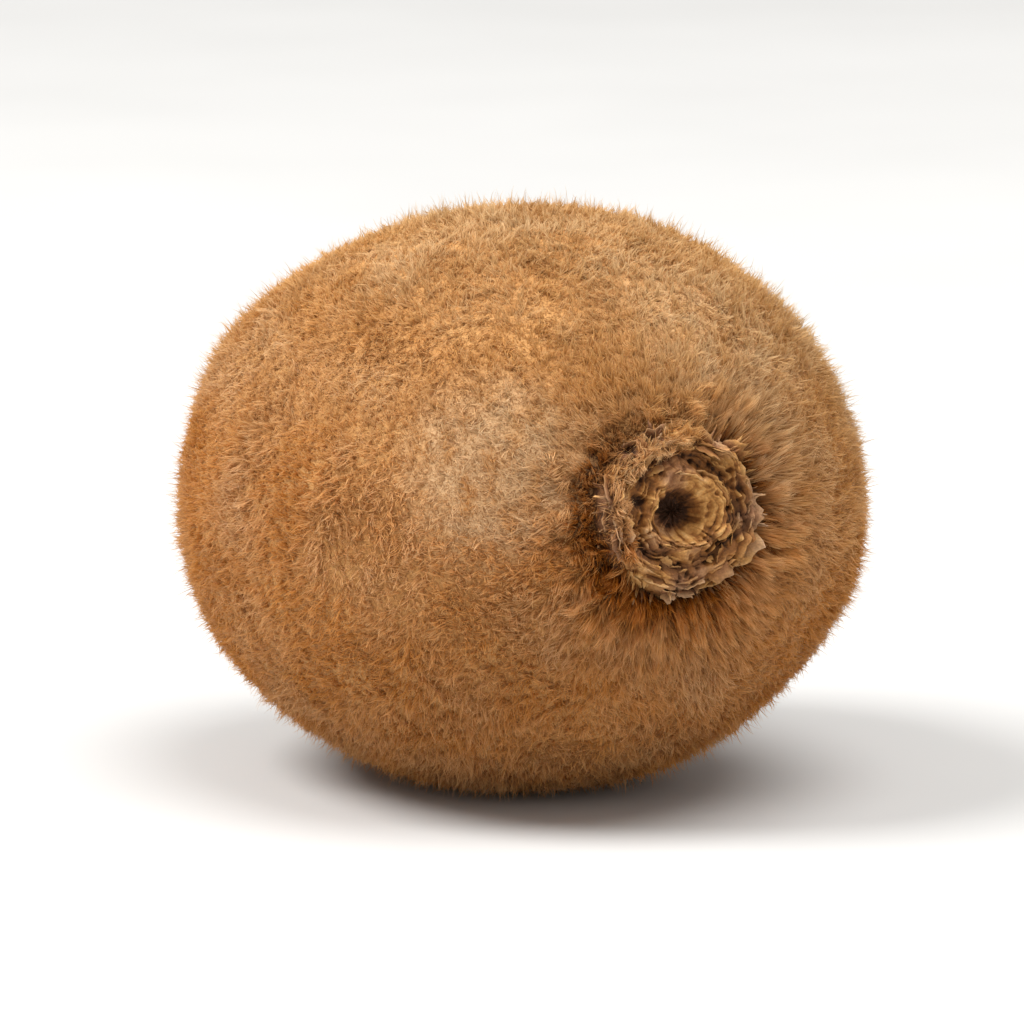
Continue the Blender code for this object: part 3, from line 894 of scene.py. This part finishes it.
fuzz = {
    # hairs in a wisp, wisps, length, spread of length, root width, lean at the root and at the tip
    # in degrees, how far they turn from the flow in degrees, and where along a hair its points are
    "short": {"each": 1, "wisps": 110000, "length": 0.85, "lengthChance": 0.20, "width": 0.115,
              "leans": (42, 72), "leanChance": 16, "turnChance": 75, "times": (0.0, 0.55), "seed": 61},
    "wisp": {"each": 4, "wisps": 30000, "length": 1.45, "lengthChance": 0.26, "width": 0.10,
             "leans": (40, 74), "leanChance": 14, "turnChance": 50, "times": (0.0, 0.5), "seed": 62},
    "long": {"each": 1, "wisps": 22000, "length": 1.75, "lengthChance": 0.35, "width": 0.058,
             "leans": (20, 48), "leanChance": 17, "turnChance": 80, "times": (0.0, 0.4, 0.75), "seed": 63},
    "skinSteps": 260,             # the skin is shared out to the hairs in so many steps each way
    "endTurn": 0.004,             # no hair is nearer to either end
    "bareRadius": 6.9,            # no hair roots on the stem button
    "styleRadius": 1.6,           # and few among the styles
    "densityAtStyles": 0.2,
    "denserAtStem": 0.8,
    "denserRadius": (8.0, 14.0),
    "flowNoise": (12.0, 71),      # of the swirls that the hair lies in
    "swirl": 1.2,                 # half turns
    "towardsBlossom": 0.35,
    "ruffleNoise": (15.0, 74),    # of the places where it stands up
    "ruffleLean": 11.0,           # degrees
    "ruffleLength": 0.10,
    "combedRadius": (10.0, 18.0),  # round the button the hair points away from it
    "combing": 2.5,
    "combedTurn": 0.6,            # how much less it turns from its flow there
    "combedLength": 0.15,         # and how much longer it is
    "strandTurn": 0.15,           # and the same once more in strands
    "strandLength": 0.3,
    "atButton": (7.2, 9.5),       # right beside the button it stands up, and is shorter
    "atButtonLean": 22,
    "atButtonLength": 0.2,
    "wornLean": 10,               # where it is rubbed it lies flat, and is shorter
    "wornLength": 0.25,
    "dimple": (2.0, 6.5),         # and in the dimple too
    "dimpleLength": 0.5,
    "toneChance": (0.16, 0.22),   # how much wisps differ in tone, and the hairs in a wisp
    "leanLimits": (0.05, 1.45),   # radians
    "lengthLimits": (-0.6, 0.7),  # of how much a hair is longer than most
    "tipTurn": 1.5,               # how many times more its tip turns from the flow than its root
    "rootDepth": 0.06,
    "rollChance": 16,             # degrees that a hair is rolled round its own length
    "widthChance": (0.7, 1.25),
    "taper": 0.6,                 # below 1 a hair keeps its width for longer
    "tipChance": 0.10,
    "wispSpread": 0.17,           # how far from a wisp's middle its hairs root
    "wispGathered": 0.72,         # how much they come together at its tip
    "wispLengths": (0.8, 1.1),
    "tuftPitch": 1.55,            # between the tufts that stand in the lumps
    "tuftRings": 0.9,             # between their rings, as a share of that
    "tuftRadius": (7.6, 14.0),    # nearest and farthest tufts
    "tuftChance": (0.28, 0.25),   # round the button as a share of the pitch, and outwards in millimetres
    "tuftSeed": 81,
    "tuftFade": 9.0,              # from here on the hair is drawn to them less and less
    "tuftPull": (0.30, 0.70),     # how far hairs are drawn to their tuft or strand at the root and at the tip
    "tuftReach": 0.8,             # and the farthest that a tuft draws them from
    "lumpPull": 0.6,              # the lumps are looser than the strands
    "lumpySide": math.radians(145.0),    # the middle of the side with the lumps, as an angle round the fruit
    "lumpyReach": (math.radians(50.0), math.radians(95.0)),
    "strands": 62,                # round the button, in which its hair lies on the sides without lumps
    "strandWander": 1.5,
    "strandNoise": (7.0, 0.3, 4.6, 82),      # drawn out round the pit, as the button's are
}


def fuzzPlaces(count, chance):
    # seeded places on the skin, as dense by area everywhere but at the ends
    steps = fuzz["skinSteps"]
    shares = (np.arange(steps) + 0.5) / steps
    turn, angle = everyPair(shares * math.pi, shares * 2 * math.pi)
    alongSkin = skinPoint(np.minimum(turn + smallTurn, math.pi), angle) - skinPoint(turn, angle)
    roundSkin = skinPoint(turn, angle + smallTurn) - skinPoint(turn, angle)
    area = np.linalg.norm(np.cross(alongSkin, roundSkin), axis=-1)
    radius = turnRadius(turn)
    stemHalf = turn < math.pi / 2
    area = area * np.where(stemHalf & (radius < fuzz["bareRadius"]), 0.0, 1.0)
    area = area * np.where(~stemHalf & (radius < fuzz["styleRadius"]), fuzz["densityAtStyles"], 1.0)
    area = area * (1 + fuzz["denserAtStem"] * fall(radius, *fuzz["denserRadius"]) * stemHalf)
    cell = np.searchsorted(np.cumsum(area) / area.sum(), chance.random(count))
    cell = np.minimum(cell, len(area) - 1)
    return (turn[cell] + chance.uniform(-0.5, 0.5, count) * math.pi / steps,
            angle[cell] + chance.uniform(-0.5, 0.5, count) * 2 * math.pi / steps)


def tuftCentres():
    # seeded middles of the tufts, in rings round the button, as y and z on the stem end
    chance = np.random.default_rng(fuzz["tuftSeed"])
    nearest, farthest = fuzz["tuftRadius"]
    aside, outwards = fuzz["tuftChance"]
    centres = []
    for radius in np.arange(nearest, farthest, fuzz["tuftPitch"] * fuzz["tuftRings"]):
        count = round(2 * math.pi * radius / fuzz["tuftPitch"])
        angles = np.arange(count) + chance.uniform(0, 1) + aside * chance.normal(size=count)
        angles = angles * 2 * math.pi / count
        radii = radius + outwards * chance.normal(size=count)
        centres.append(np.stack([radii * np.cos(angles), radii * np.sin(angles)], axis=-1))
    return np.concatenate(centres)


def lumpiness(angle):
    # 1 on the side of the button where the hair stands in lumps, 0 where it lies outwards in strands
    away = np.abs((angle - fuzz["lumpySide"] + math.pi) % (2 * math.pi) - math.pi)
    return fall(away, *fuzz["lumpyReach"])


def toStrand(angle, radius):
    # the angle from each place round the button to the middle of its strand
    wander = fuzz["strandWander"] * drawnOut(angle, radius, *fuzz["strandNoise"])
    place = angle / (2 * math.pi) * fuzz["strands"] + wander
    return (np.round(place) - place) / fuzz["strands"] * 2 * math.pi


def towardsTufts(root):
    # how each root's hair is drawn: in the lumps to the nearest tuft, elsewhere to the middle of its strand
    radius, angle = roundTheAxis(root)
    drawn = fall(radius, fuzz["tuftFade"], fuzz["tuftRadius"][1]) * (root[:, 0] > 0)
    near = np.flatnonzero(drawn > 0)
    centres = tuftCentres()
    move = np.zeros_like(root)
    for part in np.array_split(near, max(1, len(near) // 4000)):      # a few at a time, to save memory
        apart = np.linalg.norm(root[part, None, 1:] - centres[None], axis=2)
        middle = centres[apart.argmin(axis=1)]
        move[part, 1:] = middle - root[part, 1:]
        middleRadius = np.hypot(middle[:, 0], middle[:, 1])
        move[part, 0] = endDistance(middleRadius) - endDistance(radius[part])
    distance = np.maximum(np.linalg.norm(move, axis=1, keepdims=True), 1e-6)
    move = move * np.minimum(1, fuzz["tuftReach"] / distance)
    lumpy = lumpiness(angle)[:, None]
    aside = (toStrand(angle, radius) * radius)[:, None]
    aside = aside * np.stack([0 * angle, -np.sin(angle), np.cos(angle)], axis=-1)
    return (fuzz["lumpPull"] * move * lumpy + aside * (1 - lumpy)) * drawn[:, None]


def leaned(normal, level, tilt):
    # a way that stands up from the skin at 0 and lies along level at a quarter turn
    return normal * np.cos(tilt)[:, None] + level * np.sin(tilt)[:, None]


def bentHair(first, last, t):
    # how far a hair of length 1 has come at this share of it, as it bends from its first way to its last
    return first * (t - t * t / 2) + last * (t * t / 2)


def ribbonSide(first, last, normal, chance):
    # the way across each hair's ribbon
    middle = unit(first + last)
    side = unit(np.cross(middle, normal) + 1e-4)
    roll = np.radians(chance.normal(0, fuzz["rollChance"], len(middle)))[:, None]
    return side * np.cos(roll) + np.cross(middle, side) * np.sin(roll)


def growFuzz(kind):
    # every hair of one kind: points along it, the way across it, its width, where its points are,
    # and what the material reads
    how = fuzz[kind]
    chance = np.random.default_rng(how["seed"])
    count, each = how["wisps"], how["each"]
    turn, angle = fuzzPlaces(count, chance)
    turn = np.clip(turn, fuzz["endTurn"], math.pi - fuzz["endTurn"])
    root = skinPoint(turn, angle)
    normal, along = skinNormal(turn, angle)
    around = np.cross(normal, along)
    radius, axisAngle = roundTheAxis(root)
    stemHalf = root[:, 0] > 0
    combed = fall(radius, *fuzz["combedRadius"]) * stemHalf
    inStrands = combed * (1 - lumpiness(axisAngle))
    atButton = fall(radius, *fuzz["atButton"]) * stemHalf
    ruffled = waves(root, *fuzz["ruffleNoise"])
    wornAndSheen = rubbedAndSheenPatch(root)
    swirl = math.pi * fuzz["swirl"] * waves(root, *fuzz["flowNoise"])
    flow = along * (fuzz["towardsBlossom"] + fuzz["combing"] * combed + (1 - combed) * np.cos(swirl))[:, None]
    flow = unit(flow + around * ((1 - combed) * np.sin(swirl))[:, None])
    beside = np.cross(normal, flow)
    moreLean = fuzz["wornLean"] * wornAndSheen - fuzz["ruffleLean"] * ruffled - fuzz["atButtonLean"] * atButton
    turning = 1 - fuzz["combedTurn"] * combed - fuzz["strandTurn"] * inStrands

    def leaning(lean, turnSpread):
        tilt = np.radians(lean + moreLean + chance.normal(0, how["leanChance"], count))
        tilt = tilt.clip(*fuzz["leanLimits"])
        way = np.radians(chance.normal(0, 1, count) * turnSpread * turning)
        return leaned(normal, flow * np.cos(way)[:, None] + beside * np.sin(way)[:, None], tilt)

    first = leaning(how["leans"][0], how["turnChance"])
    last = leaning(how["leans"][1], how["turnChance"] * fuzz["tipTurn"])
    length = how["length"] + chance.normal(0, how["lengthChance"], count).clip(*fuzz["lengthLimits"])
    length = length * (1 + fuzz["ruffleLength"] * ruffled - fuzz["wornLength"] * wornAndSheen)
    length = length * (1 - fuzz["dimpleLength"] * fall(radius, *fuzz["dimple"]) * ~stemHalf)
    longer = fuzz["combedLength"] * combed + fuzz["strandLength"] * inStrands
    length = length * (1 + longer - fuzz["atButtonLength"] * atButton)
    wispTones, hairTones = fuzz["toneChance"]
    tone = 0.5 + wispTones * chance.normal(size=count)

    root, normal, first, last, length, along, around, tone = [
        np.repeat(values, each, axis=0)
        for values in (root, normal, first, last, length, along, around, tone)]
    total = count * each
    offset = np.zeros((total, 3))
    if each > 1:
        offset = along * chance.normal(0, fuzz["wispSpread"], (total, 1))
        offset = offset + around * chance.normal(0, fuzz["wispSpread"], (total, 1))
        length = length * chance.uniform(*fuzz["wispLengths"], total)
    times = [*how["times"], 1.0]
    jitter = fuzz["tipChance"] * chance.normal(size=(total, 3))
    tuft = towardsTufts(root)
    lines = np.stack([
        root - normal * fuzz["rootDepth"] + bentHair(first, last, t) * length[:, None]
        + offset * (1 - fuzz["wispGathered"] * t) + jitter * t * t + tuft * blend(*fuzz["tuftPull"], t)
        for t in times], axis=1)
    side = ribbonSide(first, last, normal, chance)
    widths = how["width"] * chance.uniform(*fuzz["widthChance"], total)
    ownTone = np.clip(tone + hairTones * chance.normal(size=total), 0, 1)
    readings = {"ownTone": ownTone, "rubbed": rubbedAndSheenPatch(root), "stemShade": stemShade(root)}
    return lines, side, widths, times, readings


# Longer hair round the button: lumps over its upper left, and lying outwards in strands elsewhere

collarHair = {
    "tufts": 470,
    "hairs": 25,                     # in each tuft
    "farthest": 10.8,
    "inwards": 1.5,                  # the higher, the nearer the button they stand
    # each in a strand and in a lump
    "nearest": (7.0, 4.9),
    "length": (2.6, 1.4),
    "lean": (math.radians(66.0), math.radians(38.0)),
    "sideways": (0.15, 0.65),
    "tone": (0.58, 0.88),
    "rootSpread": (0.24, 0.42),
    "angleChance": 0.2,
    "lengthChance": (0.7, 1.25),
    "leanChance": 0.14,
    "backwards": 1.7,                # in a lump some tufts point over the button
    "toneChance": (0.30, 0.15),      # between tufts, and in one
    "strandPull": 0.85,
    "innermost": 4.6,
    "bend": (0.45, 1.2),             # shares of the lean at the root and at the tip
    "flattest": 1.5,                 # radians
    "hairLengths": (0.75, 1.1),
    "tipSpread": 0.12,
    "gathered": 0.75,
    "rootDepth": 0.15,
    "times": (0.0, 0.4, 0.75, 1.0),
    "width": 0.085,
    "seed": 91,
    # how much painted shade it has beside the button, and how much its tone varies at random, how much less
    # of both where painted light falls on the lumps, and how much painted shadow in the gap
    "shade": (0.60, 0.25),
    "shadeReach": (7.0, 9.2),
    "shadeNoise": (1.8, 92),
    "litShares": (0.9, 0.5),
    "gapShade": 0.7,
}


def growCollarHair():
    # the same as growFuzz gives, for the tufts round the button
    chance = np.random.default_rng(collarHair["seed"])
    tufts, each, farthest = collarHair["tufts"], collarHair["hairs"], collarHair["farthest"]
    tuftAngle = np.arange(tufts) * goldenAngle + collarHair["angleChance"] * chance.normal(size=tufts)
    lumpy = lumpiness(tuftAngle)
    nearest = blend(*collarHair["nearest"], lumpy)
    tuftRadius = blend(nearest, farthest, chance.random(tufts) ** collarHair["inwards"])
    tuftAngle = tuftAngle + collarHair["strandPull"] * (1 - lumpy) * toStrand(tuftAngle, tuftRadius)
    length = blend(*collarHair["length"], lumpy) * chance.uniform(*collarHair["lengthChance"], tufts)
    lean = blend(*collarHair["lean"], lumpy) + collarHair["leanChance"] * chance.normal(size=tufts)
    outward = 1 - lumpy * chance.uniform(0.0, collarHair["backwards"], tufts)
    sideways = blend(*collarHair["sideways"], lumpy) * chance.normal(size=tufts)
    tuftTones, hairTones = collarHair["toneChance"]
    tone = blend(*collarHair["tone"], lumpy) + tuftTones * chance.normal(size=tufts)
    spread = blend(*collarHair["rootSpread"], lumpy)

    tuftRadius, tuftAngle, length, lean, outward, sideways, tone, spread, lumpy = [
        np.repeat(values, each)
        for values in (tuftRadius, tuftAngle, length, lean, outward, sideways, tone, spread, lumpy)]
    total = tufts * each
    radius = np.maximum(tuftRadius + spread * chance.normal(size=total), collarHair["innermost"])
    angle = tuftAngle + spread / tuftRadius * chance.normal(size=total)
    turn = np.arcsin((radius / meanRadius) ** (fruit["bluntness"] / 2))
    root = skinPoint(turn, angle)
    onButton = endDistance(radius) + buttonRelief(radius, angle)[0] - buttonSink(radius)
    root[:, 0] = np.maximum(root[:, 0], np.where(radius < button["rim"], onButton, root[:, 0]))
    normal, along = skinNormal(turn, angle)
    around = np.cross(normal, along)
    level = unit(along * outward[:, None] + around * sideways[:, None] + 1e-4)
    atRoot, atTip = collarHair["bend"]
    first = leaned(normal, level, atRoot * lean)
    last = leaned(normal, level, np.minimum(atTip * lean, collarHair["flattest"]))
    length = length * chance.uniform(*collarHair["hairLengths"], total)
    drift = collarHair["tipSpread"] * chance.normal(size=(total, 3))
    gather = roundTheEnd(tuftAngle, tuftRadius, 0 * radius) - roundTheEnd(angle, radius, 0 * radius)
    gather = collarHair["gathered"] * np.roll(gather, 1, axis=1)      # from y, z and x to x, y and z
    lines = np.stack([
        root - normal * collarHair["rootDepth"] + bentHair(first, last, t) * length[:, None]
        + gather * t + drift * t * t
        for t in collarHair["times"]], axis=1)
    side = ribbonSide(first, last, normal, chance)
    widths = collarHair["width"] * chance.uniform(*fuzz["widthChance"], total)
    ownTone = np.clip(tone + hairTones * chance.normal(size=total), 0, 1)

    # painted light on the lumps on the side the light falls on, painted shade beside the button and in the
    # gap
    lit = lumpy * facing(angle, tones["paintedLightSide"], tones["sharpness"])
    beside, mottle = collarHair["shade"]
    lessBeside, lessMottle = collarHair["litShares"]
    shade = beside * fall(radius, *collarHair["shadeReach"]) * (1 - lessBeside * lit)
    shade = shade + mottle * (1 - lessMottle * lit) * waves(root, *collarHair["shadeNoise"])
    shade = np.clip(shade + collarHair["gapShade"] * paintedGapShadow(radius, angle), 0, 1)
    readings = {"ownTone": ownTone, "rubbed": 0 * shade, "stemShade": shade}
    return lines, side, widths, collarHair["times"], readings


def fuzzPiece(name, hairs, chosen, material):
    # ribbons that taper to a point
    lines, side, widths, times, readings = hairs
    lines, side, widths = lines[chosen], side[chosen], widths[chosen]
    count, knots = len(lines), len(times) - 1
    halves = side[:, None, :] * widths[:, None, None] / 2
    taper = np.array([(1 - t) ** fuzz["taper"] for t in times[:-1]])[None, :, None]
    left, right = lines[:, :-1] - halves * taper, lines[:, :-1] + halves * taper
    points = np.stack([left, right], axis=2).reshape(count, knots * 2, 3)
    points = np.concatenate([points, lines[:, -1:]], axis=1)
    perHair = knots * 2 + 1
    first = (np.arange(count) * perHair)[:, None]
    quads = np.concatenate([first + 2 * knot + np.array([0, 1, 3, 2]) for knot in range(knots - 1)])
    triangles = first + np.array([2 * knots - 2, 2 * knots - 1, 2 * knots])
    alongHair = np.tile(np.append(np.repeat(times[:-1], 2), 1.0), count)
    spread = {key: np.repeat(values[chosen], perHair) for key, values in readings.items()}
    makePiece(name, laidDown(points.reshape(-1, 3)), quads, triangles, material,
              {"alongHair": alongHair, **spread})


def fuzzPieces(material):
    fuzzPiece("collarHair", growCollarHair(), slice(None), material)
    for kind, title, parts in (("short", "shortFuzz", 2), ("wisp", "fuzzWisps", 3), ("long", "longHairs", 1)):
        hairs = growFuzz(kind)
        order = np.argsort(hairs[0][:, 0, 0], kind="stable")[::-1]   # from the stem end on
        for number, chosen in enumerate(np.array_split(order, parts)):
            name = title if parts == 1 else f"{title}_{number + 1}"
            fuzzPiece(name, hairs, chosen, material)


# The table, the light and the camera

studio = {
    "tableSize": 12.0,
    "worldColour": "#F6F5F3",
    "worldStrength": 0.49,
    # place in metres from the fruit, size and power in watts
    "key": ((-0.18, -0.76, 1.0), 0.7, 20.4),
    "top": ((0.28, 0.2, 1.05), 0.9, 12.6),
    "fill": ((1.0, -0.1, 0.5), 0.8, 1.5),
    "azimuth": 64.5,
    "elevation": 10.0,
    "distance": 0.93,
    "lens": 385.0,
    "lookAt": (0.001, 0.0, 0.0225),
}


def setTable():
    size = studio["tableSize"] / 2
    mesh = bpy.data.meshes.new("table")
    corners = [(-size, -size, 0), (size, -size, 0), (size, size, 0), (-size, size, 0)]
    mesh.from_pydata(corners, [], [(0, 1, 2, 3)])
    mesh.materials.append(paleTable())
    table = bpy.data.objects.new("table", mesh)
    bpy.context.scene.collection.objects.link(table)
    table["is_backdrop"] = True


def setLights():
    world = bpy.data.worlds.new("softDaylight")
    world.use_nodes = True
    background = world.node_tree.nodes["Background"]
    background.inputs["Color"].default_value = linear(studio["worldColour"])
    background.inputs["Strength"].default_value = studio["worldStrength"]
    bpy.context.scene.world = world
    for name in ("key", "top", "fill"):
        place, size, power = studio[name]
        lamp = bpy.data.lights.new(name, "AREA")
        lamp.shape, lamp.size, lamp.energy = "DISK", size, power
        holder = bpy.data.objects.new(name, lamp)
        holder.location = place
        holder.rotation_euler = (Vector(studio["lookAt"]) - Vector(place)).to_track_quat("-Z", "Y").to_euler()
        bpy.context.scene.collection.objects.link(holder)


def setCamera():
    azimuth, elevation = math.radians(studio["azimuth"]), math.radians(studio["elevation"])
    level = math.cos(elevation)
    back = Vector((math.sin(azimuth) * level, -math.cos(azimuth) * level, math.sin(elevation)))
    lens = bpy.data.cameras.new("camera")
    lens.lens = studio["lens"]
    camera = bpy.data.objects.new("camera", lens)
    camera.location = Vector(studio["lookAt"]) + back * studio["distance"]
    camera.rotation_euler = (-back).to_track_quat("-Z", "Y").to_euler()
    bpy.context.scene.collection.objects.link(camera)
    bpy.context.scene.camera = camera
    bpy.context.scene.view_settings.view_transform = "Standard"


say("camera and light")
setCamera()
setLights()
setTable()

say("skin and stem end")
bareSkin(leatherySkin())
stemButton(corkyWood("corkyStemScar", *button["colours"]))
sepalScraps(corkyWood("paperySepalRemains", *scraps["colours"]))
driedStyles(corkyWood("witheredStyles", *styles["colours"]))

say("fuzz")
fuzzPieces(driedFuzz())

sizes = {"cad": [list(corner) for corner in cadBox], "visual": [list(corner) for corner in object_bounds()]}
say("sizes " + str(sizes))
